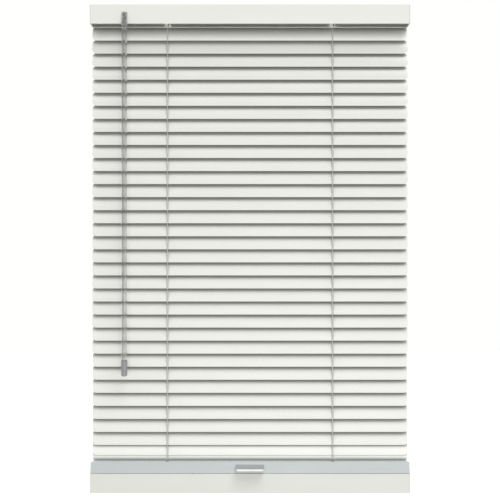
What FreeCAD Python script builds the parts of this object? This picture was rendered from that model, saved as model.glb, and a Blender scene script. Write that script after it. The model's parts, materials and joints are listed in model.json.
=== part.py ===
"""Cordless aluminium venetian blind: headrail with a wand tilter, slats on ladder cords and a
weighted bottom rail that holds the lifting springs.

Frame: millimetres, +X along the headrail to the right, +Y towards the window, +Z up. The origin is
on the mounting plane, midway between the two clip brackets. The slats are stored closed.
"""
import FreeCAD
import Part

import math
import os

V = FreeCAD.Vector
X_AXIS = V(1, 0, 0)
Z_AXIS = V(0, 0, 1)
ORIGIN = V(0, 0, 0)

# ---- driving dimensions -----------------------------------------------------------------------
WIDTH = 520.0            # headrail and bottom rail, end caps included
RAIL_DEPTH = 38.0        # front to back, both rails
SHEET = 0.8              # rolled steel of both rails
CAP_THICK = 1.5          # end plates

HEADRAIL_H = 31.0
HEADRAIL_FLOOR = -26.0   # top of the channel's floor
TOP_LIP = 4.5            # inward lips that the clip brackets hold

SLAT_COUNT = 35
SLAT_CHORD = 25.0
SLAT_CROWN = 2.0
SLAT_THICK = 0.22
SLAT_LENGTH = 520.0
SLAT_CORNER = 6.5
SLAT_PITCH = 21.5
CLOSED_TILT = 74.0       # front edge down
TOP_SLAT_TILT = 16.0     # the top slat is held flat by the headrail
TOP_SLAT_Z = -29.9
FIRST_HUNG_Z = -40.76
BUNCHED_Z = (-723.96, -732.83)   # the two slats that are gathered on the bottom rail

LADDER_X = 136.0
LADDER_HALF = 14.55      # ladder cord from the slat's middle, along the chord
LADDER_DROP = 2.0        # ladder cord below the slat's crown
LADDER_CORD_R = 0.35
CORD_PIN_R = 0.44        # pin that hangs a ladder cord from its drum
CORD_SPARE = 2.5         # free cord below the bottom rail's deck
LIFT_CORD_X = 129.0
LIFT_CORD_Y = 14.2
LIFT_CORD_R = 0.5

ROD_Z = -14.49
ROD_ACROSS_FLATS = 5.0
DRUM_HUB_R = 4.6
BRACKET_X = 170.0
SCREW_HOLE_R = 2.1
SCREW_SPACING_Y = 16.0

WAND_X = -203.0
HOOK_Y, HOOK_Z = -25.0, -17.2
WAND_R = 4.25            # across the hexagon's corners
WAND_SHOULDER_Z = -41.0
WAND_END_Z = -602.0
GRIP_R = 4.9
GRIP_TOP = -577.0
SLEEVE_R = 4.85
SLEEVE_BORE_R = 3.75
SLEEVE_TOP, SLEEVE_BOTTOM = -15.2, -37.0
SLEEVE_FLOOR = 2.4
PIN_R = 0.8              # cross pin the sleeve hangs on
WORM_DISTANCE = 7.9      # worm axis from the tilt rod's axis
WHEEL_R = 5.0
WORM_R = 2.6

RAIL_TOP_Z = -742.9      # top of the bottom rail's front lip
RAIL_DECK_Z = -745.9     # deck that the gathered slats lie over
RAIL_SEAM_Z = -761.2     # lower edge of the cover
RAIL_BOTTOM_Z = -793.6
RAIL_TOP_FRONT_Y = -16.8
SHAFT_Y, SHAFT_Z = 5.4, -768.0
SPOOL_R = 8.0
MOTOR_HALF = 34.0        # half the spring motor's length
STORAGE_Y = -8.6

HANDLE_HALF = 22.8       # finger ledge
HANDLE_REACH_Y = -33.0
HANDLE_ROOT_Z = -747.1   # where its top meets the cover
HANDLE_UNDER_Z = -758.6
LIP_Z = -751.2           # top of its raised lip

# ---- sizes worked out from them ---------------------------------------------------------------
HALF_WIDTH = WIDTH / 2
HALF_DEPTH = RAIL_DEPTH / 2
BODY_END = HALF_WIDTH - CAP_THICK
INNER_DEPTH = HALF_DEPTH - SHEET
WORM_ANGLE = math.degrees(
    math.asin(WORM_DISTANCE / math.hypot(HOOK_Y, ROD_Z - HOOK_Z))
    + math.atan2(ROD_Z - HOOK_Z, -HOOK_Y)
)
WORM_DIR = V(0, math.cos(math.radians(WORM_ANGLE)), math.sin(math.radians(WORM_ANGLE)))
HOOK = V(WAND_X, HOOK_Y, HOOK_Z)


# ---- shape helpers ----------------------------------------------------------------------------
def box(x0, x1, y0, y1, z0, z1):
    """Block between two corners."""
    return Part.makeBox(x1 - x0, y1 - y0, z1 - z0, V(x0, y0, z0))


def rod(start, direction, length, radius):
    """Round bar from a point along a direction."""
    return Part.makeCylinder(radius, length, start, direction)


def rod_x(x0, x1, y, z, radius):
    """Round bar along X."""
    return rod(V(x0, y, z), X_AXIS, x1 - x0, radius)


def rod_z(x, y, z0, z1, radius):
    """Round bar along Z, between two heights."""
    return rod(V(x, y, z0), Z_AXIS, z1 - z0, radius)


def prism_x(points, x0, x1):
    """Closed outline of (y, z) points, extruded along X."""
    corners = [V(x0, y, z) for y, z in points]
    face = Part.Face(Part.makePolygon(corners + corners[:1]))
    return face.extrude(V(x1 - x0, 0, 0))


def hexagon_x(x0, x1, y, z, across_flats):
    """Hexagonal bar along X."""
    radius = across_flats / math.sqrt(3)
    angles = [math.radians(60 * i) for i in range(6)]
    return prism_x([(y + radius * math.cos(a), z + radius * math.sin(a)) for a in angles], x0, x1)


def fuse(shapes):
    """One solid from touching or overlapping shapes."""
    joined = shapes[0].multiFuse(shapes[1:]) if len(shapes) > 1 else shapes[0]
    return joined.removeSplitter()


def both_sides(make):
    """The same piece at the left and at the right; make takes the side, -1 or +1."""
    return Part.makeCompound([make(-1), make(1)])


def rotated(y, z, degrees):
    """A (y, z) point turned about X, the front edge going down for a positive angle."""
    a = math.radians(degrees)
    return y * math.cos(a) - z * math.sin(a), y * math.sin(a) + z * math.cos(a)


FRONT_ARM = rotated(-LADDER_HALF, -LADDER_DROP, CLOSED_TILT)
BACK_ARM = rotated(LADDER_HALF, -LADDER_DROP, CLOSED_TILT)
TILT_TRAVEL = 2 * LADDER_HALF * math.sin(math.radians(CLOSED_TILT))


# ---- headrail ---------------------------------------------------------------------------------
def headrail():
    """Rolled channel, open at the top, with its floor set up above its lower edges."""
    walls = [
        box(-BODY_END, BODY_END, -HALF_DEPTH, -INNER_DEPTH, -HEADRAIL_H, 0),
        box(-BODY_END, BODY_END, INNER_DEPTH, HALF_DEPTH, -HEADRAIL_H, 0),
        box(-BODY_END, BODY_END, -HALF_DEPTH, HALF_DEPTH, HEADRAIL_FLOOR - SHEET, HEADRAIL_FLOOR),
        box(-BODY_END, BODY_END, -HALF_DEPTH, -HALF_DEPTH + TOP_LIP, -SHEET, 0),
        box(-BODY_END, BODY_END, HALF_DEPTH - TOP_LIP, HALF_DEPTH, -SHEET, 0),
    ]
    channel = fuse(walls)
    floor_z0, floor_z1 = HEADRAIL_FLOOR - 2 * SHEET, HEADRAIL_FLOOR + SHEET
    cuts = [rod(HOOK, WORM_DIR, 12, 1.8)]
    for side in (-1, 1):
        x = side * LADDER_X
        cuts.append(box(x - 4.5, x + 4.5, -16.2, 16.2, floor_z0, floor_z1))
        cuts.append(rod_z(side * LIFT_CORD_X, LIFT_CORD_Y, floor_z0, floor_z1, 0.8))
    return channel.cut(cuts)


def headrail_end_caps():
    """Moulded plates that close the headrail, each with a tongue inside the channel."""
    tongue = 7.0

    def cap(side):
        plate = box(BODY_END, HALF_WIDTH, -HALF_DEPTH, HALF_DEPTH, -HEADRAIL_H, 0)
        depth, wall = INNER_DEPTH - 0.2, 1.2
        top, bottom = -SHEET - 0.2, HEADRAIL_FLOOR + 0.2
        plug = box(BODY_END - tongue, BODY_END, -depth, depth, bottom, top)
        hollow = box(BODY_END - tongue, BODY_END, -depth + wall, depth - wall, bottom + wall, top)
        piece = fuse([plate, plug.cut(hollow)])
        edges = [e for e in piece.Edges if is_end_corner(e, HALF_DEPTH, -HEADRAIL_H, 0)]
        piece = piece.makeFillet(1.2, edges)
        return piece if side > 0 else piece.mirror(ORIGIN, X_AXIS)

    return both_sides(cap)


def is_end_corner(edge, half_depth, low, high):
    """True for the short edges along X at an end plate's four corners."""
    a, b = edge.Vertexes[0].Point, edge.Vertexes[-1].Point
    along_x = abs(a.y - b.y) < 1e-6 and abs(a.z - b.z) < 1e-6
    at_corner = abs(abs(a.y) - half_depth) < 1e-6 and min(abs(a.z - low), abs(a.z - high)) < 1e-6
    return along_x and at_corner


def mounting_brackets():
    """Clip brackets, screwed to the reveal, whose wings carry the headrail's lips."""
    plate_half, thick, wing_half = 15.0, 1.2, 10.0
    inner = HALF_DEPTH - TOP_LIP - 0.5

    def bracket(side):
        x = side * BRACKET_X
        pieces = [box(x - plate_half, x + plate_half, -inner, inner, -thick, 0)]
        for s in (-1, 1):
            y0, y1 = sorted((s * (inner - 1.5), s * (INNER_DEPTH - 0.4)))
            pieces.append(box(x - wing_half, x + wing_half, y0, y1, -SHEET - 1.0, -SHEET))
        holes = [
            rod_z(x, s * SCREW_SPACING_Y / 2, -2 * thick, thick, SCREW_HOLE_R) for s in (-1, 1)
        ]
        return fuse(pieces).cut(holes)

    return both_sides(bracket)


# ---- tilting ----------------------------------------------------------------------------------
def tilt_rod():
    """Hexagonal rod that joins the tilter to both ladder drums."""
    return hexagon_x(WAND_X - 8.0, LADDER_X + 15.0, 0, ROD_Z, ROD_ACROSS_FLATS)


def rod_socket(x0, x1):
    """Hexagonal hole for the tilt rod."""
    return hexagon_x(x0, x1, 0, ROD_Z, ROD_ACROSS_FLATS)


def arm_bar(x0, x1, y, z, half_width):
    """Flat bar from the rod's axis to an arm's end, rounded about that end."""
    length = math.hypot(y, z)
    bar = box(x0, x1, 0, length, -half_width, half_width)
    bar = bar.fuse(rod_x(x0, x1, length, 0, half_width))
    bar.rotate(ORIGIN, X_AXIS, math.degrees(math.atan2(z, y)))
    bar.translate(V(0, 0, ROD_Z))
    return bar


def tilt_drums():
    """Moulded rockers on the tilt rod; a ladder cord hangs from each end of the arm."""
    arm_x0, arm_x1, hub_end, arm_half = 1.0, 2.6, 12.0, 0.95

    def drum(side):
        x = side * LADDER_X
        hub = rod_x(x + arm_x0, x + hub_end, 0, ROD_Z, DRUM_HUB_R)
        arms = [arm_bar(x + arm_x0, x + arm_x1, y, z, arm_half) for y, z in (FRONT_ARM, BACK_ARM)]
        holes = [
            rod_x(x, x + 2 * arm_x1, y, ROD_Z + z, CORD_PIN_R + 0.06)
            for y, z in (FRONT_ARM, BACK_ARM)
        ]
        return fuse([hub] + arms).cut([rod_socket(x, x + 2 * hub_end)] + holes)

    return both_sides(drum)


def ladder_cradles():
    """Moulded supports, clipped to the headrail's floor, in which the drums turn."""

    def cradle(side):
        x = side * LADDER_X
        base = box(x + 4.9, x + 13.0, -12.0, 12.0, HEADRAIL_FLOOR, HEADRAIL_FLOOR + 1.6)
        post = box(x + 5.4, x + 9.4, -7.0, 7.0, HEADRAIL_FLOOR, ROD_Z + 7.0)
        return fuse([base, post]).cut(rod_x(x, x + 20, 0, ROD_Z, DRUM_HUB_R + 0.05))

    return both_sides(cradle)


def worm_point(distance):
    """Point on the worm's axis, measured from the hook inwards."""
    return HOOK + WORM_DIR * distance


def worm_reach():
    """Distance along the worm's axis from the hook to the point nearest the tilt rod."""
    return V(0, -HOOK_Y, ROD_Z - HOOK_Z).dot(WORM_DIR)


def tilter_worm():
    """Worm with its stem, which leaves the headrail at the front and ends in a ball."""
    middle, half, core, ridge = worm_reach(), 4.5, 2.1, 1.0
    shaft = rod(worm_point(0), WORM_DIR, middle + half + 1.6, 1.3)
    thread = [rod(worm_point(middle - half), WORM_DIR, 2 * half, core)]
    ridges = 5
    for i in range(ridges):
        start = middle - half + i * (2 * half - ridge) / (ridges - 1)
        thread.append(rod(worm_point(start), WORM_DIR, ridge, WORM_R))
    ball = Part.makeSphere(1.8, HOOK)
    return fuse([shaft, ball] + thread)


def tilter_worm_wheel():
    """Toothed wheel on the tilt rod."""
    teeth, tooth_depth, face = 18, 0.7, 3.5
    blank = rod_x(WAND_X - face, WAND_X + face, 0, ROD_Z, WHEEL_R)
    cuts = [rod_socket(WAND_X - 2 * face, WAND_X + 2 * face)]
    for i in range(teeth):
        a = 2 * math.pi * i / teeth
        y, z = WHEEL_R * math.cos(a), ROD_Z + WHEEL_R * math.sin(a)
        cuts.append(rod_x(WAND_X - 2 * face, WAND_X + 2 * face, y, z, tooth_depth / 2))
    return blank.cut(cuts)


def tilter_housing():
    """Moulded box around the worm and its wheel, fixed to the headrail's floor."""
    wall, half_x = 1.2, 6.0
    y0, y1, z1 = -12.5, 8.0, -1.4
    outer = box(WAND_X - half_x, WAND_X + half_x, y0, y1, HEADRAIL_FLOOR, z1)
    inner = box(
        WAND_X - half_x + wall, WAND_X + half_x - wall, y0 + wall, y1 - wall,
        HEADRAIL_FLOOR + wall, z1 - 0.8,
    )
    rod_clear = ROD_ACROSS_FLATS / math.sqrt(3) + 0.3
    cuts = [
        inner,
        rod_x(WAND_X - 2 * half_x, WAND_X + 2 * half_x, 0, ROD_Z, rod_clear),
        rod(HOOK, WORM_DIR, 20, 1.7),
    ]
    return outer.cut(cuts)


# ---- wand -------------------------------------------------------------------------------------
def wand_hook_link():
    """Small split ball around the stem's end, with a cross pin that carries the sleeve."""
    shell = Part.makeSphere(3.0, HOOK)
    pin = rod_x(WAND_X - SLEEVE_R + 0.3, WAND_X + SLEEVE_R - 0.3, HOOK_Y, HOOK_Z, PIN_R)
    cavity = Part.makeSphere(1.95, HOOK)
    mouth = box(WAND_X - 2.4, WAND_X + 2.4, HOOK_Y, HOOK_Y + 6, HOOK_Z - 1.7, HOOK_Z + 6)
    crown = box(WAND_X - 2.4, WAND_X + 2.4, HOOK_Y - 1.6, HOOK_Y, HOOK_Z + 1.2, HOOK_Z + 6)
    return fuse([shell, pin]).cut([cavity, mouth, crown])


def wand_sleeve():
    """Clear sleeve that hangs on the link's pin and holds the wand's head."""
    tube = rod_z(WAND_X, HOOK_Y, SLEEVE_BOTTOM, SLEEVE_TOP, SLEEVE_R)
    cuts = [
        rod_z(WAND_X, HOOK_Y, SLEEVE_BOTTOM + SLEEVE_FLOOR, SLEEVE_TOP + 1, SLEEVE_BORE_R),
        rod_z(WAND_X, HOOK_Y, SLEEVE_BOTTOM - 1, SLEEVE_BOTTOM + 2 * SLEEVE_FLOOR, 2.06),
        rod_x(WAND_X - 2 * SLEEVE_R, WAND_X + 2 * SLEEVE_R, HOOK_Y, HOOK_Z, PIN_R + 0.06),
        box(WAND_X - 2.4, WAND_X + 2.4, HOOK_Y, HOOK_Y + 8, HOOK_Z - 1.6, SLEEVE_TOP + 1),
    ]
    return tube.cut(cuts)


def wand():
    """Clear six-sided wand with a round neck and a head inside the sleeve."""
    neck_r, head_r, head_high, grip_floor = 2.0, 3.2, 4.0, 2.4
    outline = [
        V(WAND_X + WAND_R * math.cos(math.radians(60 * i)),
          HOOK_Y + WAND_R * math.sin(math.radians(60 * i)), WAND_SHOULDER_Z)
        for i in range(7)
    ]
    length = WAND_SHOULDER_Z - WAND_END_Z - grip_floor
    stick = Part.Face(Part.makePolygon(outline)).extrude(V(0, 0, -length))
    head_low = SLEEVE_BOTTOM + SLEEVE_FLOOR + 0.1
    neck = rod_z(WAND_X, HOOK_Y, WAND_SHOULDER_Z, head_low + 1.0, neck_r)
    head = rod_z(WAND_X, HOOK_Y, head_low, head_low + head_high, head_r)
    collar = Part.makeCone(3.6, neck_r, 1.8, V(WAND_X, HOOK_Y, WAND_SHOULDER_Z), Z_AXIS)
    return fuse([stick, neck, head, collar])


def wand_grip():
    """Round grip pressed on the wand's lower end."""
    outer = rod_z(WAND_X, HOOK_Y, WAND_END_Z, GRIP_TOP, GRIP_R)
    rims = [e for e in outer.Edges if len(e.Vertexes) == 1]
    outer = outer.makeFillet(1.6, [e for e in rims if e.Vertexes[0].Z < GRIP_TOP - 1])
    outer = outer.makeChamfer(0.3, [e for e in outer.Edges if e.BoundBox.ZMin > GRIP_TOP - 0.01])
    return outer.cut(wand())


# ---- slats and cords --------------------------------------------------------------------------
def flat_slat(length=SLAT_LENGTH):
    """Crowned slat with rounded corners, its crown on the X axis, before it is tilted."""
    half = SLAT_CHORD / 2
    radius = (half ** 2 + SLAT_CROWN ** 2) / (2 * SLAT_CROWN)
    wires = []
    for r in (radius + SLAT_THICK / 2, radius - SLAT_THICK / 2):
        a = math.asin(half / r)
        ends = [V(0, s * half, r * math.cos(a) - radius) for s in (-1, 1)]
        wires.append((ends, Part.Arc(ends[0], V(0, 0, r - radius), ends[1]).toShape()))
    (top_ends, top), (low_ends, low) = wires
    sides = [Part.LineSegment(t, b).toShape() for t, b in zip(top_ends, low_ends)]
    face = Part.Face(Part.Wire(Part.__sortEdges__([top, sides[1], low, sides[0]])))
    face.translate(V(-length / 2, 0, 0))
    band = face.extrude(V(length, 0, 0))
    blank = box(-length / 2, length / 2, -half, half, -2 * SLAT_CROWN, SLAT_CROWN)
    corners = [e for e in blank.Edges if abs(e.tangentAt(e.FirstParameter).z) > 0.9]
    return band.common(blank.makeFillet(SLAT_CORNER, corners))


def top_slat():
    """The slat between the headrail's end caps, notched where the ladder cords pass it."""
    web = 1.8
    notches = []
    for side in (-1, 1):
        x = side * LADDER_X
        notches.append(box(x - 1.6, x + 1.6, -SLAT_CHORD, -web, -SLAT_CHORD, SLAT_CHORD))
        notches.append(box(x - 1.6, x + 1.6, web, SLAT_CHORD, -SLAT_CHORD, SLAT_CHORD))
    return flat_slat(2 * BODY_END - 0.8).cut(notches)


def slat_heights():
    """Height of each slat's crown, from the top."""
    hung = SLAT_COUNT - 1 - len(BUNCHED_Z)
    return [TOP_SLAT_Z] + [FIRST_HUNG_Z - SLAT_PITCH * i for i in range(hung)] + list(BUNCHED_Z)


def slats():
    """Every slat as its own piece, closed, named from the top."""
    pieces = {}
    for index, height in enumerate(slat_heights()):
        piece, tilt = (top_slat(), TOP_SLAT_TILT) if index == 0 else (flat_slat(), CLOSED_TILT)
        piece.rotate(ORIGIN, X_AXIS, tilt)
        piece.translate(V(0, 0, height))
        pieces[f"slat_{index:02d}"] = piece
    return pieces


def ladder_cords(arm, low_z):
    """One cord of each ladder, hung by a pin through its drum's arm."""
    y, z = arm[0], ROD_Z + arm[1]

    def cord(side):
        x = side * LADDER_X
        line = rod_z(x, y, low_z, z, LADDER_CORD_R)
        knot = Part.makeSphere(0.8, V(x, y, z))
        pin = rod_x(x, x + 3.2, y, z, CORD_PIN_R)
        knot = knot.common(box(x - 0.8, x + 0.6, y - 1, y + 1, z - 1, z + 1))
        return fuse([line, knot, pin])

    return both_sides(cord)


def ladder_front_cords():
    """Their lower ends rise inside the bottom rail as the front edges rise."""
    return ladder_cords(FRONT_ARM, RAIL_DECK_Z - SHEET - CORD_SPARE - TILT_TRAVEL)


def ladder_back_cords():
    """Their lower ends sink inside the bottom rail as the back edges sink."""
    return ladder_cords(BACK_ARM, RAIL_DECK_Z - SHEET - CORD_SPARE)


def lift_cords():
    """Cords behind the slats, knotted above the headrail's floor and led to the spools."""

    def cord(side):
        x = side * LIFT_CORD_X
        line = rod_z(x, LIFT_CORD_Y, SHAFT_Z - 5.0, HEADRAIL_FLOOR + 1.0, LIFT_CORD_R)
        knot = Part.makeSphere(1.5, V(x, LIFT_CORD_Y, HEADRAIL_FLOOR + 1.2))
        knot = knot.common(box(x - 2, x + 2, 0, INNER_DEPTH, HEADRAIL_FLOOR, 0))
        return fuse([line, knot])

    return both_sides(cord)


# ---- bottom rail ------------------------------------------------------------------------------
def bottom_rail():
    """Rolled tray that forms the rail's front, bottom and back."""
    seam_gap = 0.6
    top = RAIL_DECK_Z - SHEET
    tray = box(-BODY_END, BODY_END, -HALF_DEPTH, HALF_DEPTH, RAIL_BOTTOM_Z, top)
    inside = box(-BODY_END, BODY_END, -INNER_DEPTH, INNER_DEPTH, RAIL_BOTTOM_Z + SHEET, top)
    front = box(-BODY_END, BODY_END, -HALF_DEPTH, -INNER_DEPTH, RAIL_SEAM_Z - seam_gap, top)
    tray = tray.cut([inside, front])
    edges = [
        e for e in tray.Edges
        if abs(e.BoundBox.ZMax - RAIL_BOTTOM_Z) < 1e-6 and e.BoundBox.XLength > 1
    ]
    return tray.makeFillet(0.7, edges)


def bottom_rail_cover():
    """Blue-grey cover: sloping front and sunk deck, slotted for the cords."""
    lip_y = RAIL_TOP_FRONT_Y + SHEET
    profile = [
        (RAIL_TOP_FRONT_Y, RAIL_TOP_Z), (lip_y, RAIL_TOP_Z), (lip_y, RAIL_DECK_Z),
        (HALF_DEPTH, RAIL_DECK_Z), (HALF_DEPTH, RAIL_DECK_Z - SHEET),
        (lip_y, RAIL_DECK_Z - SHEET), (-HALF_DEPTH + SHEET, RAIL_SEAM_Z),
        (-HALF_DEPTH, RAIL_SEAM_Z),
    ]
    cover = prism_x(profile, -BODY_END, BODY_END)
    z0, z1 = RAIL_DECK_Z - 2 * SHEET, RAIL_DECK_Z + SHEET
    cuts = []
    for side in (-1, 1):
        x = side * LADDER_X
        cuts.append(box(x - 1.6, x + 1.6, lip_y, -lip_y, z0 - 1.2, z1))
        cuts.append(rod_z(side * LIFT_CORD_X, LIFT_CORD_Y, z0, z1, 1.0))
    return cover.cut(cuts)


def bottom_rail_end_caps():
    """Moulded plates that follow the rail's outline, each with a tongue inside it."""
    outline = [
        (-HALF_DEPTH, RAIL_BOTTOM_Z), (HALF_DEPTH, RAIL_BOTTOM_Z), (HALF_DEPTH, RAIL_DECK_Z),
        (RAIL_TOP_FRONT_Y + SHEET, RAIL_DECK_Z), (RAIL_TOP_FRONT_Y + SHEET, RAIL_TOP_Z),
        (RAIL_TOP_FRONT_Y, RAIL_TOP_Z), (-HALF_DEPTH, RAIL_SEAM_Z),
    ]

    def cap(side):
        plate = prism_x(outline, BODY_END, HALF_WIDTH)
        reach, wall, slack = 8.0, 1.4, 0.25
        low, high = RAIL_BOTTOM_Z + SHEET + slack, RAIL_SEAM_Z - 1.0
        depth = INNER_DEPTH - slack
        plug = box(BODY_END - reach, BODY_END, -depth, depth, low, high)
        hollow = box(BODY_END - reach, BODY_END, -depth + wall, depth - wall, low + wall, high)
        piece = fuse([plate, plug.cut(hollow)])
        return piece if side > 0 else piece.mirror(ORIGIN, X_AXIS)

    return both_sides(cap)


def handle():
    """Finger ledge on the cover, with a dished top and a raised rounded lip."""
    half, reach_y, plan_corner = HANDLE_HALF, HANDLE_REACH_Y, 6.0
    slope = (-HALF_DEPTH - RAIL_TOP_FRONT_Y) / (RAIL_TOP_Z - RAIL_SEAM_Z)
    top_back = V(-half, RAIL_TOP_FRONT_Y + slope * (RAIL_TOP_Z - HANDLE_ROOT_Z), HANDLE_ROOT_Z)
    lip_back = V(-half, reach_y + 3.2, LIP_Z)
    lip_tip = V(-half, reach_y, LIP_Z - 1.7)
    lip_low = V(-half, reach_y + 1.8, LIP_Z - 3.3)
    under = V(-half, -HALF_DEPTH, HANDLE_UNDER_Z)
    edges = [
        Part.Arc(top_back, V(-half, -24.0, LIP_Z + 0.2), lip_back),
        Part.Arc(lip_back, V(-half, reach_y + 0.8, LIP_Z - 0.2), lip_tip),
        Part.Arc(lip_tip, V(-half, reach_y + 0.5, LIP_Z - 2.9), lip_low),
        Part.Arc(lip_low, V(-half, -24.5, LIP_Z - 4.2), under),
        Part.LineSegment(under, top_back),
    ]
    face = Part.Face(Part.Wire([e.toShape() for e in edges]))
    tongue = face.extrude(V(2 * half, 0, 0))
    plan = box(-half, half, reach_y - 1, 0, RAIL_SEAM_Z, RAIL_TOP_Z)
    corners = [
        e for e in plan.Edges
        if abs(e.tangentAt(e.FirstParameter).z) > 0.9 and e.BoundBox.YMax < reach_y
    ]
    tongue = tongue.common(plan.makeFillet(plan_corner, corners))
    rail_front = prism_x(
        [(RAIL_TOP_FRONT_Y, RAIL_TOP_Z), (0, RAIL_TOP_Z), (0, RAIL_BOTTOM_Z),
         (-HALF_DEPTH, RAIL_BOTTOM_Z), (-HALF_DEPTH, RAIL_SEAM_Z)],
        -2 * half, 2 * half,
    )
    return tongue.cut(rail_front)


def lift_shaft():
    """Hexagonal shaft inside the bottom rail, from spool to spool through the spring motor."""
    end = LIFT_CORD_X + 5.5
    return hexagon_x(-end, end, SHAFT_Y, SHAFT_Z, ROD_ACROSS_FLATS)


def shaft_socket(x0, x1):
    """Hexagonal hole for the lift shaft."""
    return hexagon_x(x0, x1, SHAFT_Y, SHAFT_Z, ROD_ACROSS_FLATS)


def cord_spools():
    """Flanged spools for the lift cords, each with the turns of cord already on it."""

    def spool(side):
        x = side * LIFT_CORD_X
        core = rod_x(x - 5.0, x + 5.0, SHAFT_Y, SHAFT_Z, SPOOL_R)
        flanges = [
            rod_x(x + x0, x + x0 + 1.2, SHAFT_Y, SHAFT_Z, 11.0) for x0 in (-5.0, 3.8)
        ]
        return fuse([core] + flanges).cut(shaft_socket(x - 10, x + 10))

    return both_sides(spool)


def spring_motor_case():
    """Box around the two spring drums, seated on the rail's floor."""
    wall, y0, y1, z1 = 1.2, -16.2, 16.0, -752.0
    z0 = RAIL_BOTTOM_Z + SHEET
    outer = box(-MOTOR_HALF, MOTOR_HALF, y0, y1, z0, z1)
    inner = box(-MOTOR_HALF + wall, MOTOR_HALF - wall, y0 + wall, y1 - wall, z0 + wall, z1 - wall)
    bearing = ROD_ACROSS_FLATS / math.sqrt(3) + 0.4
    storage_pin = rod_x(-MOTOR_HALF + wall, MOTOR_HALF - wall, STORAGE_Y, SHAFT_Z, 1.5)
    shell = outer.cut([inner, rod_x(-2 * MOTOR_HALF, 2 * MOTOR_HALF, SHAFT_Y, SHAFT_Z, bearing)])
    return fuse([shell, storage_pin])


def spring_output_drum():
    """Drum on the lift shaft that the flat spring winds on to."""
    half = MOTOR_HALF - 2.0
    drum = rod_x(-half, half, SHAFT_Y, SHAFT_Z, 6.5)
    flanges = [rod_x(x, x + 1.2, SHAFT_Y, SHAFT_Z, 7.5) for x in (-half, half - 1.2)]
    return fuse([drum] + flanges).cut(shaft_socket(-2 * half, 2 * half))


def spring_storage_drum():
    """Drum on its own pin that the flat spring unwinds from."""
    half = MOTOR_HALF - 2.0
    drum = rod_x(-half, half, STORAGE_Y, SHAFT_Z, 5.5)
    return drum.cut(rod_x(-2 * half, 2 * half, STORAGE_Y, SHAFT_Z, 1.56))


# ---- output -----------------------------------------------------------------------------------
MAKERS = (
    headrail, headrail_end_caps, mounting_brackets,
    tilt_rod, tilt_drums, ladder_cradles, tilter_worm, tilter_worm_wheel, tilter_housing,
    wand_hook_link, wand_sleeve, wand, wand_grip,
    ladder_front_cords, ladder_back_cords, lift_cords,
    bottom_rail, bottom_rail_cover, bottom_rail_end_caps, handle,
    lift_shaft, cord_spools, spring_motor_case, spring_output_drum, spring_storage_drum,
)


def main():
    os.makedirs("parts", exist_ok=True)
    pieces = {make.__name__: make() for make in MAKERS}
    pieces.update(slats())
    for name, shape in pieces.items():
        solids = shape.Solids
        if not shape.isValid() or not solids:
            raise ValueError(f"{name} is not a valid solid")
        shape = solids[0] if len(solids) == 1 else Part.makeCompound(solids)
        shape.exportStep(f"parts/{name}.step")
        print(f"{name:24s} {len(solids)} solid(s) {shape.Volume / 1000:9.2f} cm3")


main()
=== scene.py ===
"""Looks of the cordless venetian blind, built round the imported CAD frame.

Lengths are in metres in the row frame: +X to the right, +Y towards the window, +Z up.
"""
import json
import math

import bmesh
import bpy
from mathutils import Matrix, Vector


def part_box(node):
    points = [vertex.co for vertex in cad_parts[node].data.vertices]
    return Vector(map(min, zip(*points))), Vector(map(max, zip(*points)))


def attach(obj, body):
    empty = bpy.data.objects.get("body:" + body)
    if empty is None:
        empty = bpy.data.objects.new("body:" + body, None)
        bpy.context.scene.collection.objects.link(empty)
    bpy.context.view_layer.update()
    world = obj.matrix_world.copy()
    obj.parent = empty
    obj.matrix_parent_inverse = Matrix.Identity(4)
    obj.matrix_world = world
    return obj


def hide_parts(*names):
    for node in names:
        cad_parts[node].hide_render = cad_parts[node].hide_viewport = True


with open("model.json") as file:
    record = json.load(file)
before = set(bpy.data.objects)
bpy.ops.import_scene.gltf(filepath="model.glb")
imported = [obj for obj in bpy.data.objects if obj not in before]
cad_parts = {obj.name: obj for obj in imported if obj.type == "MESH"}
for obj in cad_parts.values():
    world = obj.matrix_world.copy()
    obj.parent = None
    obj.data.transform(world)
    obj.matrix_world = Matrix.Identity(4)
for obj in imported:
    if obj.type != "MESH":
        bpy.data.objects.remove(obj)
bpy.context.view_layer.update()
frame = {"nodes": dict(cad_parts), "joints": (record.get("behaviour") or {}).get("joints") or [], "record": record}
NODES = frame["nodes"]
JOINTS = {j["name"]: j for j in frame["joints"]}
BODY_OF = {n: b for b, ns in frame["record"]["behaviour"]["bodies"].items() for n in ns}

# ---- sizes that the frame's boxes don't give -----------------------------------------------------
SLAT_CHORD = 0.025
SLAT_CROWN = 0.002
SLAT_THICK = 0.00022
SLAT_CORNER = 0.0065
CLOSED_TILT = 74.0
TOP_SLAT_TILT = 16.0
SLAT_COUNT = 35
LADDER_X = 0.136
LADDER_HALF = 0.01455
LADDER_DROP = 0.002
LADDER_CORD_R = 0.00035
LADDER_CORD_PITCH = 0.006
RUNG_R = 0.00017
RUNG_CLEAR = 0.00003
RUNG_APART = 0.0006
RUNG_FOLLOW = 0.35
LIFT_CORD_X = 0.129
LIFT_CORD_Y = 0.0142
LIFT_CORD_R = 0.0005
LIFT_CORD_PITCH = 0.008
LIFT_KNOT_DROP = 0.0015
# bounds of the painted shade in the handle's thumb dish
DISH_BACK_Y = (-0.0302, -0.0282)
DISH_FLOOR_Z = (-0.7530, -0.7518)

# ---- view and light: strengths, then (angle, azimuth, elevation) of each sun in degrees ----------
CAMERA_AT = (0.0, -1.146, -0.3985)
FLOOR_Z = -1.45
FLOOR_HALF = 6
DIM_SIDE = 0.4
CEILING = 1.7
KEY_STRENGTH, KEY_FROM = 1.3, (28, 35, 60)
FILL_STRENGTH, FILL_FROM = 1.2, (40, 10, -4)

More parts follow.
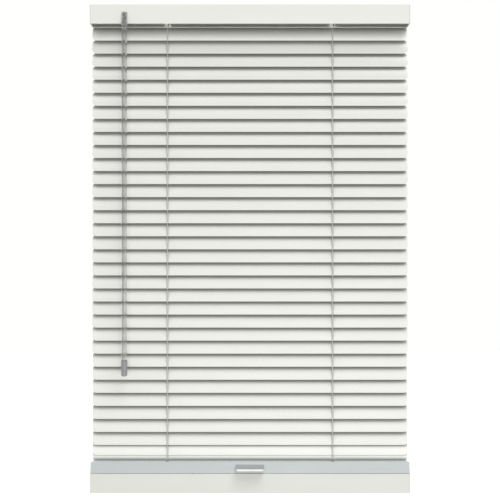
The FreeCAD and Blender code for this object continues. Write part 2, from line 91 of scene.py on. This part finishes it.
# finishes of the CAD nodes that stay as they are
NODE_MATERIALS = {
    # slat_00 takes a lighter copy of the enamel, with painted light
    "slat_enamel_painted_light_top": ("slat_00",),
    "plated_steel": ("tilt_rod", "lift_shaft", "tilter_worm"),
    "spring_steel": ("spring_output_drum", "spring_storage_drum"),
    "nylon": (
        "tilter_worm_wheel", "tilter_housing", "cord_spools", "spring_motor_case",
    ),
    "grey_nylon": ("tilt_drums", "ladder_cradles"),
}


# ---- materials -----------------------------------------------------------------------------------
def srgb(r, g, b):
    """Linear colour of 8-bit sRGB values."""
    def linear(c):
        c /= 255
        return c / 12.92 if c <= 0.04045 else ((c + 0.055) / 1.055) ** 2.4
    return linear(r), linear(g), linear(b)


class Finish:
    """One procedural material, built up from noise in object coordinates."""

    def __init__(self, name, colour, roughness, **sockets):
        self.material = bpy.data.materials.new(name)
        self.material.use_nodes = True
        tree = self.material.node_tree
        self.nodes, self.links = tree.nodes, tree.links
        self.shader = self.nodes["Principled BSDF"]
        self.shader.inputs["Base Color"].default_value = (*colour, 1)
        self.shader.inputs["Roughness"].default_value = roughness
        for socket, value in sockets.items():
            self.shader.inputs[socket.replace("_", " ")].default_value = value
        self.colour, self.roughness = colour, roughness
        self.place = self.nodes.new("ShaderNodeTexCoord").outputs["Object"]
        self.normal = None

    def noise(self, scale, stretch=(1, 1, 1), detail=3.0):
        """Noise value, with features 1/scale metres across, longer where stretch is under 1."""
        mapping = self.nodes.new("ShaderNodeMapping")
        mapping.inputs["Scale"].default_value = stretch
        texture = self.nodes.new("ShaderNodeTexNoise")
        texture.inputs["Scale"].default_value = scale
        texture.inputs["Detail"].default_value = detail
        self.links.new(self.place, mapping.inputs["Vector"])
        self.links.new(mapping.outputs["Vector"], texture.inputs["Vector"])
        return texture.outputs["Fac"]

    def ranged(self, value, low, high, start=0.3, end=0.7):
        """The value's span from start to end, spread over low to high."""
        node = self.nodes.new("ShaderNodeMapRange")
        for socket, number in zip(("From Min", "From Max", "To Min", "To Max"),
                                  (start, end, low, high)):
            node.inputs[socket].default_value = number
        self.links.new(value, node.inputs["Value"])
        return node.outputs["Result"]

    def tint(self, value, other, amount=1.0):
        """Base colour that goes towards another colour with a value from 0 to 1."""
        mix = self.nodes.new("ShaderNodeMix")
        mix.data_type = "RGBA"
        base = self.shader.inputs["Base Color"]
        if base.is_linked:
            self.links.new(base.links[0].from_socket, mix.inputs["A"])
        else:
            mix.inputs["A"].default_value = (*self.colour, 1)
        mix.inputs["B"].default_value = (*other, 1)
        self.links.new(self.ranged(value, 0.0, amount), mix.inputs["Factor"])
        self.links.new(mix.outputs["Result"], base)
        return self

    def paint_gap_shade(self, other, reach, power):
        """Painted shade: base colour that goes towards another colour in gaps that little light gets into."""
        gap = self.nodes.new("ShaderNodeAmbientOcclusion")
        gap.samples = 12
        gap.inputs["Distance"].default_value = reach
        raised = self.nodes.new("ShaderNodeMath")
        raised.operation = "POWER"
        raised.inputs[1].default_value = power
        self.links.new(gap.outputs["AO"], raised.inputs[0])
        inverse = self.ranged(raised.outputs["Value"], 1.0, 0.0, 0.0, 1.0)
        return self.tint(self.ranged(inverse, 0.3, 0.7, 0.0, 1.0), other)

    def rough(self, value, spread):
        """Roughness that wanders round its mean."""
        low, high = self.roughness - spread, self.roughness + spread
        self.links.new(self.ranged(value, low, high), self.shader.inputs["Roughness"])
        return self

    def bump(self, value, height, strength=1.0):
        """Relief of that height in metres, on top of what is there."""
        node = self.nodes.new("ShaderNodeBump")
        node.inputs["Distance"].default_value = height
        node.inputs["Strength"].default_value = strength
        self.links.new(value, node.inputs["Height"])
        if self.normal is not None:
            self.links.new(self.normal, node.inputs["Normal"])
        self.normal = node.outputs["Normal"]
        self.links.new(self.normal, self.shader.inputs["Normal"])
        return self


def shade(colour, factor):
    """A colour made lighter or darker."""
    return tuple(c * factor for c in colour)


def painted(name, colour, roughness, peel=0.00002, streak=0.0, painted_gap_shade=None):
    """Stoved paint: cloudy tone, orange peel, rolling lines along X where streak is set, and painted shade, darker
    in gaps, with the colour, reach and power given by the last argument."""
    f = Finish(name, colour, roughness, Specular_IOR_Level=0.5)
    f.tint(f.noise(9, (1, 3, 3)), shade(colour, 0.965))
    f.tint(f.noise(900, detail=1.0), shade(colour, 0.985), 0.6)
    f.rough(f.noise(60, (0.3, 1, 1)), 0.05)
    f.bump(f.noise(700, detail=2.0), peel, 0.35)
    if streak:
        lines = f.noise(1400, (0.006, 1, 1), 2.0)
        f.bump(lines, streak, 0.5)
    # painted shade: base colour darkened in gaps found by ambient occlusion
    if painted_gap_shade:
        f.paint_gap_shade(*painted_gap_shade)
    return f.material


def moulded(name, colour, roughness, grain=0.00004, **sockets):
    """Moulded plastic with a fine spark-eroded grain."""
    f = Finish(name, colour, roughness, **sockets)
    f.tint(f.noise(25), shade(colour, 0.95))
    f.rough(f.noise(400), 0.06)
    f.bump(f.noise(1800, detail=2.0), grain, 0.4)
    return f.material


def dish_shaded(name, colour, roughness, dish_shade_colour):
    """Smooth moulding with painted shade: its thumb dish behind the lip is coloured darker."""
    f = Finish(name, colour, roughness)
    f.tint(f.noise(25), shade(colour, 0.97))
    # painted shade: behind the lip and above the dish floor the colour goes towards the darker dish colour
    split = f.nodes.new("ShaderNodeSeparateXYZ")
    f.links.new(f.place, split.inputs["Vector"])
    behind = f.ranged(split.outputs["Y"], 0.0, 1.0, *DISH_BACK_Y)
    above = f.ranged(split.outputs["Z"], 0.0, 1.0, *DISH_FLOOR_Z)
    both = f.nodes.new("ShaderNodeMath")
    both.operation = "MULTIPLY"
    f.links.new(behind, both.inputs[0])
    f.links.new(above, both.inputs[1])
    f.tint(f.ranged(both.outputs["Value"], 0.3, 0.7, 0.0, 1.0), dish_shade_colour)
    f.bump(f.noise(1500, detail=2.0), 0.00001, 0.3)
    return f.material


def metal(name, colour, roughness, stretch=(0.05, 1, 1)):
    """Bare or plated metal with drawing lines along X and a few duller clouds."""
    f = Finish(name, colour, roughness, Metallic=1.0)
    f.tint(f.noise(80, detail=5.0), shade(colour, 0.75))
    f.rough(f.noise(120), 0.1)
    f.bump(f.noise(2500, stretch, 2.0), 0.00001, 0.5)
    return f.material


def clear(name, colour, roughness, transmission):
    """Clear or smoked plastic with faint flow lines along Z."""
    f = Finish(name, colour, roughness, Transmission_Weight=transmission, IOR=1.49)
    f.tint(f.noise(60, (1, 1, 0.2)), shade(colour, 0.9))
    f.rough(f.noise(300, (1, 1, 0.1)), 0.03)
    f.bump(f.noise(500, (1, 1, 0.04), 2.0), 0.00002, 0.4)
    return f.material


def thread(name, colour):
    """Polyester cord: fuzzy fibres that run along and round it."""
    f = Finish(name, colour, 0.75, Sheen_Weight=0.3, Sheen_Roughness=0.5)
    f.tint(f.noise(1500, (1, 1, 0.4)), shade(colour, 0.72))
    f.rough(f.noise(900), 0.08)
    f.bump(f.noise(5000, (1, 1, 0.5), 2.0), 0.00006, 0.7)
    return f.material


SLAT_PEEL, SLAT_STREAK = 0.000008, 0.000004
MATERIALS = {
    "headrail_paint": painted("headrail_paint", srgb(229, 230, 223), 0.36),
    "bottom_rail_paint": painted("bottom_rail_paint", srgb(214, 215, 208), 0.36),
    # slat_enamel: painted shade, darker where ambient occlusion finds the slat above and the cords close by
    "slat_enamel": painted(
        "slat_enamel", srgb(224, 225, 220), 0.34, SLAT_PEEL, SLAT_STREAK,
        (srgb(130, 130, 125), 0.019, 5.5),
    ),
    # lighter copies of the slat enamel with painted light: one for slat_00 under the headrail, one for the first
    # strip in the headrail's shadow, one with weaker painted shade for the two slats on the bottom rail
    "slat_enamel_painted_light_top": painted(
        "slat_enamel_painted_light_top", srgb(240, 241, 236), 0.3, SLAT_PEEL, SLAT_STREAK,
    ),
    "slat_enamel_painted_light_second": painted(
        "slat_enamel_painted_light_second", srgb(250, 251, 246), 0.34, SLAT_PEEL, SLAT_STREAK,
        (srgb(150, 150, 145), 0.018, 2.8),
    ),
    "slat_enamel_painted_light_last": painted(
        "slat_enamel_painted_light_last", srgb(229, 230, 225), 0.34, SLAT_PEEL, SLAT_STREAK,
        (srgb(100, 100, 95), 0.008, 3.2),
    ),
    "cover_enamel": painted("cover_enamel", srgb(181, 186, 187), 0.38),
    "end_cap_plastic": moulded("end_cap_plastic", srgb(214, 215, 210), 0.48),
    # handle_plastic has painted shade in its thumb dish
    "handle_plastic": dish_shaded("handle_plastic", srgb(214, 215, 212), 0.34, srgb(136, 139, 140)),
    "plated_steel": metal("plated_steel", (0.62, 0.62, 0.60), 0.32),
    "spring_steel": metal("spring_steel", (0.42, 0.44, 0.47), 0.28, (1, 0.05, 0.05)),
    "nylon": moulded("nylon", srgb(224, 222, 212), 0.5, Subsurface_Weight=0.1),
    "grey_nylon": moulded("grey_nylon", srgb(120, 120, 117), 0.5),
    "wand_acrylic": clear("wand_acrylic", (0.73, 0.735, 0.73), 0.06, 0.94),
    "smoked_plastic": clear("smoked_plastic", (0.44, 0.45, 0.45), 0.2, 0.45),
    "sleeve_vinyl": clear("sleeve_vinyl", (0.70, 0.71, 0.71), 0.06, 0.9),
    "cord_polyester": thread("cord_polyester", srgb(236, 236, 232)),
}


# ---- piece helpers -------------------------------------------------------------------------------
def piece(name, mesh, material, body, replaced=()):
    """A shown object with its material, riding on a CAD body."""
    mesh.materials.clear()
    mesh.materials.append(MATERIALS[material])
    obj = bpy.data.objects.new(name, mesh)
    bpy.context.scene.collection.objects.link(obj)
    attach(obj, body)
    if replaced:
        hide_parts(*replaced)
    return obj


def mesh_of(name, verts, faces, sharp=40.0):
    """Smooth-shaded mesh, with edges kept sharp where it turns by more than that angle."""
    bm = bmesh.new()
    made = [bm.verts.new(v) for v in verts]
    for face in faces:
        bm.faces.new([made[i] for i in face])
    bmesh.ops.recalc_face_normals(bm, faces=bm.faces)
    for face in bm.faces:
        face.smooth = True
    for edge in bm.edges:
        edge.smooth = edge.calc_face_angle(0.0) < math.radians(sharp)
    mesh = bpy.data.meshes.new(name)
    bm.to_mesh(mesh)
    bm.free()
    return mesh


def soften(node, material, width, segments=2):
    """The CAD node's own shape with its sharp edges rounded and its flats shaded flat."""
    mesh = NODES[node].data.copy()
    mesh.name = node + "_soft"
    bm = bmesh.new()
    bm.from_mesh(mesh)
    bmesh.ops.remove_doubles(bm, verts=bm.verts, dist=2e-6)
    bmesh.ops.dissolve_limit(
        bm, angle_limit=math.radians(1.0), verts=bm.verts, edges=bm.edges
    )
    for face in bm.faces:
        face.smooth = True
    for edge in bm.edges:
        edge.smooth = True
    bm.to_mesh(mesh)
    bm.free()
    obj = piece(node + "_soft", mesh, material, BODY_OF[node], (node,))
    bevel = obj.modifiers.new("edges", "BEVEL")
    bevel.width = width
    bevel.segments = segments
    bevel.limit_method = "ANGLE"
    bevel.angle_limit = math.radians(30)
    weighted = obj.modifiers.new("flats", "WEIGHTED_NORMAL")
    weighted.mode = "FACE_AREA"
    weighted.weight = 100
    weighted.keep_sharp = True
    return obj


def ring_faces(rings, count):
    """Quads between rings of count points each, and a fan's worth of end faces."""
    faces = [
        (r * count + i, r * count + (i + 1) % count,
         (r + 1) * count + (i + 1) % count, (r + 1) * count + i)
        for r in range(rings - 1) for i in range(count)
    ]
    faces.append(tuple(range(count)))
    faces.append(tuple(range((rings - 1) * count, rings * count)))
    return faces


def tube(path, radius, sides=6):
    """Vertices and faces of a thin round tube along a path that stays near one YZ plane."""
    points = [Vector(p) for p in path]
    verts = []
    for i, p in enumerate(points):
        ahead = points[min(i + 1, len(points) - 1)]
        behind = points[max(i - 1, 0)]
        along = (ahead - behind).normalized()
        across = Vector((1, 0, 0))
        up = along.cross(across).normalized()
        across = up.cross(along).normalized()
        for k in range(sides):
            a = 2 * math.pi * k / sides
            verts.append(p + (across * math.cos(a) + up * math.sin(a)) * radius)
    return verts, ring_faces(len(points), sides)


def lump(centre, radii, rings=6, sides=10):
    """Vertices and faces of a knot: a slightly creased ellipsoid."""
    verts = []
    for r in range(rings + 1):
        polar = math.pi * (0.08 + 0.84 * r / rings)
        for k in range(sides):
            a = 2 * math.pi * (k + 0.5 * (r % 2)) / sides
            crease = 1.0 + 0.08 * math.cos(3 * a + 2.2 * r)
            verts.append(Vector((
                centre[0] + radii[0] * crease * math.sin(polar) * math.cos(a),
                centre[1] + radii[1] * crease * math.sin(polar) * math.sin(a),
                centre[2] + radii[2] * math.cos(polar),
            )))
    return verts, ring_faces(rings + 1, sides)


def joined(parts):
    """Several (vertices, faces) as one."""
    verts, faces = [], []
    for v, f in parts:
        faces += [tuple(i + len(verts) for i in face) for face in f]
        verts += v
    return verts, faces


# ---- slats ---------------------------------------------------------------------------------------
CROWN_R = ((SLAT_CHORD / 2) ** 2 + SLAT_CROWN ** 2) / (2 * SLAT_CROWN)


def crown_point(y, lift=0.0):
    """Height and outward normal of the slat's middle surface at y, in the slat's own frame."""
    rise = math.sqrt(CROWN_R ** 2 - y ** 2)
    normal = Vector((0, y / CROWN_R, rise / CROWN_R))
    return Vector((0, y, rise - CROWN_R)) + normal * lift


def slat_rows():
    """(y, how far the end is drawn in) for each row of points across the slat."""
    flat = SLAT_CHORD / 2 - SLAT_CORNER
    steps = 7
    corner = []
    for i in range(steps + 1):
        a = math.pi / 2 * i / steps
        corner.append((flat + SLAT_CORNER * math.sin(a), SLAT_CORNER * (1 - math.cos(a))))
    inner = [(flat * (2 * i / 6 - 1), 0.0) for i in range(1, 6)]
    return [(-y, d) for y, d in reversed(corner)] + inner + corner


def slat_mesh(name, length, columns=9):
    """Crowned blade with rounded corners, its crown on the X axis."""
    rows = slat_rows()
    verts, faces = [], []
    for lift in (SLAT_THICK / 2, -SLAT_THICK / 2):
        for y, drawn_in in rows:
            half = length / 2 - drawn_in
            p = crown_point(y, lift)
            for c in range(columns):
                verts.append(Vector((half * (2 * c / (columns - 1) - 1), p.y, p.z)))
    layer = len(rows) * columns
    for r in range(len(rows) - 1):
        for c in range(columns - 1):
            a = r * columns + c
            quad = (a, a + 1, a + 1 + columns, a + columns)
            faces.append(quad)
            faces.append(tuple(i + layer for i in reversed(quad)))
    last = (len(rows) - 1) * columns
    rim = list(range(columns))
    rim += [r * columns + columns - 1 for r in range(1, len(rows))]
    rim += [last + c for c in reversed(range(columns - 1))]
    rim += [r * columns for r in reversed(range(1, len(rows) - 1))]
    for a, b in zip(rim, rim[1:] + rim[:1]):
        faces.append((a, b, b + layer, a + layer))
    return mesh_of(name, verts, faces)


def rung_parts(x):
    """The two threads that hold a slat between its ladder cords, with a knot at each end."""
    end = Vector((0, LADDER_HALF, -LADDER_DROP))
    edge = SLAT_CHORD / 2
    gap = SLAT_THICK / 2 + RUNG_R + RUNG_CLEAR
    upper, lower = [], []
    for i in range(13):
        y = edge * (i / 6 - 1) * 0.99
        upper.append(crown_point(y, gap) + Vector((x - RUNG_APART, 0, 0)))
    chord = crown_point(edge, -gap).z
    for i in range(7):
        y = edge * (i / 3 - 1)
        under = crown_point(y, -gap).z
        lower.append(Vector((x + RUNG_APART, y, chord + RUNG_FOLLOW * (under - chord))))
    start, stop = Vector((x, -end.y, end.z)), Vector((x, end.y, end.z))
    parts = [tube([start] + path + [stop], RUNG_R, 5) for path in (upper, lower)]
    for y in (-end.y, end.y):
        parts.append(lump((x, y, end.z), (0.0005, 0.0005, 0.0005), 4, 8))
    return parts


def tilted(mesh, degrees, height):
    """The mesh turned about X, front edge down, and set at its height."""
    mesh.transform(Matrix.Translation((0, 0, height)) @ Matrix.Rotation(
        math.radians(degrees), 4, "X"))
    return mesh


def add_slats():
    """Blades in place of the CAD's, but for the top one, and every slat's ladder rungs."""
    for i in range(SLAT_COUNT):
        node = f"slat_{i:02d}"
        low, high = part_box(node)
        height = JOINTS[node + "_tilt"]["pos_m"][2]
        tilt = TOP_SLAT_TILT if i == 0 else CLOSED_TILT
        if i > 0:
            # the second slat and the last two take lighter copies of the enamel, with painted light
            finish = {
                1: "slat_enamel_painted_light_second",
                SLAT_COUNT - 2: "slat_enamel_painted_light_last",
                SLAT_COUNT - 1: "slat_enamel_painted_light_last",
            }.get(i, "slat_enamel")
            blade = tilted(slat_mesh(node + "_blade", high.x - low.x), tilt, height)
            piece(node + "_blade", blade, finish, node, (node,))
        parts = rung_parts(-LADDER_X) + rung_parts(LADDER_X)
        rungs = mesh_of(node + "_rungs", *joined(parts), 60.0)
        piece(node + "_rungs", tilted(rungs, tilt, height), "cord_polyester", node)


# ---- cords ---------------------------------------------------------------------------------------
def twisted(x, y, top, bottom, radius, pitch, lobes=3):
    """Vertices and faces of a straight laid cord: a lobed section that turns as it goes down."""
    count, per_turn = lobes * 4, 6
    rings = round((top - bottom) / pitch * per_turn) + 1
    verts = []
    for r in range(rings):
        z = top + (bottom - top) * r / (rings - 1)
        turn = 2 * math.pi * (top - z) / pitch
        for k in range(count):
            a = 2 * math.pi * k / count
            reach = radius * (0.9 + 0.1 * math.cos(lobes * a))
            verts.append(Vector((
                x + reach * math.cos(a + turn), y + reach * math.sin(a + turn), z,
            )))
    return verts, ring_faces(rings, count)


def add_cord(name, x, y, top, bottom, radius, pitch, body, knots, replaced=()):
    """One taut cord with its knots."""
    cord = piece(
        name, mesh_of(name, *twisted(x, y, top, bottom, radius, pitch), 80.0),
        "cord_polyester", body, replaced,
    )
    ends = piece(
        name + "_knots", mesh_of(name + "_knots", *joined(knots), 60.0), "cord_polyester", body,
    )


def add_cords():
    """The ladders' front and back cords and the lift cords, at each side."""
    for node, joint in (
        ("ladder_front_cords", "front_cords_hang"), ("ladder_back_cords", "back_cords_hang"),
    ):
        y, top = JOINTS[joint]["pos_m"][1:]
        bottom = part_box(node)[0].z
        for side, word in ((-1, "left"), (1, "right")):
            x = side * LADDER_X
            pin = tube([(x - 0.0004, y, top), (x + 0.0014, y, top), (x + 0.0032, y, top)], 0.00044)
            knots = [
                lump((x, y, top), (0.0006, 0.0008, 0.0008)), pin,
                lump((x, y, bottom + 0.0007), (0.0006, 0.0006, 0.0007)),
            ]
            add_cord(
                f"{node[:-1]}_{word}", x, y, top, bottom, LADDER_CORD_R, LADDER_CORD_PITCH,
                BODY_OF[node], knots, (node,) if side < 0 else (),
            )
    low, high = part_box("lift_cords")
    for side, word in ((-1, "left"), (1, "right")):
        x = side * LIFT_CORD_X
        knots = [lump((x, LIFT_CORD_Y, high.z - 0.0013), (0.0014, 0.0014, 0.0012))]
        add_cord(
            f"lift_cord_{word}", x, LIFT_CORD_Y, high.z - LIFT_KNOT_DROP, low.z, LIFT_CORD_R,
            LIFT_CORD_PITCH, BODY_OF["lift_cords"], knots, ("lift_cords",) if side < 0 else (),
        )


# ---- rails and fittings --------------------------------------------------------------------------
def add_shells():
    """Sheet metal and mouldings with rounded edges in place of the CAD's sharp ones."""
    for node, material, width, segments in (
        ("headrail", "headrail_paint", 0.0003, 2),
        ("bottom_rail", "bottom_rail_paint", 0.0003, 2),
        ("bottom_rail_cover", "cover_enamel", 0.0003, 2),
        ("headrail_end_caps", "end_cap_plastic", 0.0004, 3),
        ("bottom_rail_end_caps", "end_cap_plastic", 0.0004, 3),
        ("handle", "handle_plastic", 0.0006, 3),
        ("mounting_brackets", "plated_steel", 0.0002, 2),
        ("wand_sleeve", "sleeve_vinyl", 0.0001, 1),
        ("wand_hook_link", "smoked_plastic", 0.0001, 2),
        ("wand_grip", "smoked_plastic", 0.0002, 2),
        ("wand", "wand_acrylic", 0.0003, 2),
    ):
        soften(node, material, width, segments)


def finish_nodes():
    """Materials of the CAD nodes that stay as they are."""
    for material, names in NODE_MATERIALS.items():
        for name in names:
            mesh = NODES[name].data
            mesh.materials.clear()
            mesh.materials.append(MATERIALS[material])


# ---- stage, light and camera ---------------------------------------------------------------------
def add_stage():
    """Pale floor, which doesn't shade or tint the blind."""
    corners = [(-1, -1), (1, -1), (1, 1), (-1, 1)]
    mesh = mesh_of(
        "floor", [(x * FLOOR_HALF, y * FLOOR_HALF, FLOOR_Z) for x, y in corners], [(0, 1, 2, 3)],
    )
    floor = bpy.data.objects.new("floor", mesh)
    bpy.context.scene.collection.objects.link(floor)
    finish = Finish("floor_paint", (0.9, 0.9, 0.9), 0.9, Emission_Color=(1, 1, 0.985, 1))
    finish.shader.inputs["Emission Strength"].default_value = 0.1
    finish.rough(finish.noise(3), 0.05)
    mesh.materials.append(finish.material)
    floor.visible_shadow = False
    floor.visible_diffuse = False


def add_sun(name, strength, angle, azimuth, elevation):
    """Soft light from a direction: azimuth 0 is from the front, 90 from the right."""
    data = bpy.data.lights.new(name, "SUN")
    data.energy = strength
    data.angle = math.radians(angle)
    sun = bpy.data.objects.new(name, data)
    a, e = math.radians(azimuth), math.radians(elevation)
    source = Vector((math.sin(a) * math.cos(e), -math.cos(a) * math.cos(e), math.sin(e)))
    sun.rotation_mode = "QUATERNION"
    sun.rotation_quaternion = source.to_track_quat("Z", "Y")
    bpy.context.scene.collection.objects.link(sun)


def add_light():
    """A studio that is white behind the blind and overhead, and dim on the camera's side."""
    world = bpy.data.worlds.new("studio")
    world.use_nodes = True
    nodes, links = world.node_tree.nodes, world.node_tree.links
    direction = nodes.new("ShaderNodeTexCoord").outputs["Generated"]
    split = nodes.new("ShaderNodeSeparateXYZ")
    links.new(direction, split.inputs["Vector"])

    def ranged(value, start, end, low, high):
        node = nodes.new("ShaderNodeMapRange")
        node.interpolation_type = "SMOOTHSTEP"
        for socket, number in zip(("From Min", "From Max", "To Min", "To Max"),
                                  (start, end, low, high)):
            node.inputs[socket].default_value = number
        links.new(value, node.inputs["Value"])
        return node.outputs["Result"]

    room = ranged(split.outputs["Y"], -0.05, 0.3, DIM_SIDE, 1.0)
    ceiling = ranged(split.outputs["Z"], 0.6, 0.95, 0.0, CEILING)
    total = nodes.new("ShaderNodeMath")
    links.new(room, total.inputs[0])
    links.new(ceiling, total.inputs[1])
    back = nodes["Background"]
    back.inputs["Color"].default_value = (1.0, 1.0, 0.985, 1)
    links.new(total.outputs["Value"], back.inputs["Strength"])
    bpy.context.scene.world = world
    add_sun("key", KEY_STRENGTH, *KEY_FROM)
    add_sun("fill", FILL_STRENGTH, *FILL_FROM)
    bpy.context.scene.view_settings.view_transform = "Standard"


def add_camera():
    """The front view, level with the middle of the blind."""
    data = bpy.data.cameras.new("camera")
    data.lens = 50
    data.sensor_width = 36
    camera = bpy.data.objects.new("camera", data)
    camera.location = CAMERA_AT
    camera.rotation_euler = (math.pi / 2, 0, 0)
    bpy.context.scene.collection.objects.link(camera)
    bpy.context.scene.camera = camera


add_camera()
add_cords()
add_slats()
add_shells()
finish_nodes()
add_stage()
add_light()
